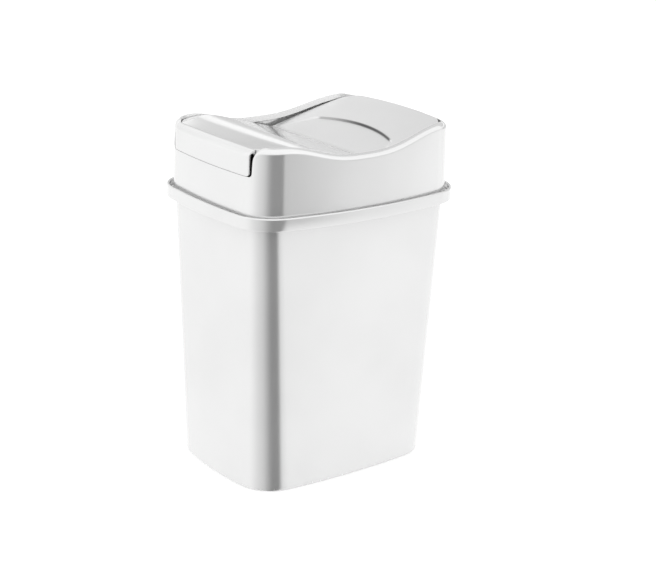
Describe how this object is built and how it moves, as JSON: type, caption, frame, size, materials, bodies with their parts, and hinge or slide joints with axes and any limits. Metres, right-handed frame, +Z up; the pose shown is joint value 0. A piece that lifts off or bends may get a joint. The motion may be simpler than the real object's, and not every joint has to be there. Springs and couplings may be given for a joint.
{
  "type": "countertop trash can with swing lid",
  "caption": "Small tapered waste bin with a lift-off saddle-topped hood and a front-notched swing lid that tips about a side-to-side axis.",
  "frame": {"origin": "centre of the footprint, on the surface the bin stands on", "axes": "+Z up; -Y is the front, where the lid's flap sits in the hood's notch; X runs side to side along the lid's hinge"},
  "size_m": [0.163, 0.206, 0.2805],
  "materials": {
    "bucket_plastic": "gloss, moulded",
    "hood_plastic": "gloss, moulded",
    "lid_plastic": "gloss, moulded"
  },
  "bodies": {
    "bucket_body": {"bucket": "bucket_plastic"},
    "hood_body": {"hood": "hood_plastic"},
    "lid_body": {"swing_lid": "lid_plastic"}
  },
  "joints": [
    {"name": "hood_lift", "type": "slide", "parent": "bucket_body", "child": "hood_body", "axis": [0, 0, 1], "range_m": [0, 0.06]},
    {"name": "lid_swing", "type": "hinge", "parent": "hood_body", "child": "lid_body", "pos_m": [0, 0.006, 0.25], "axis": [-1, 0, 0], "range_deg": [0, 60]}
  ]
}
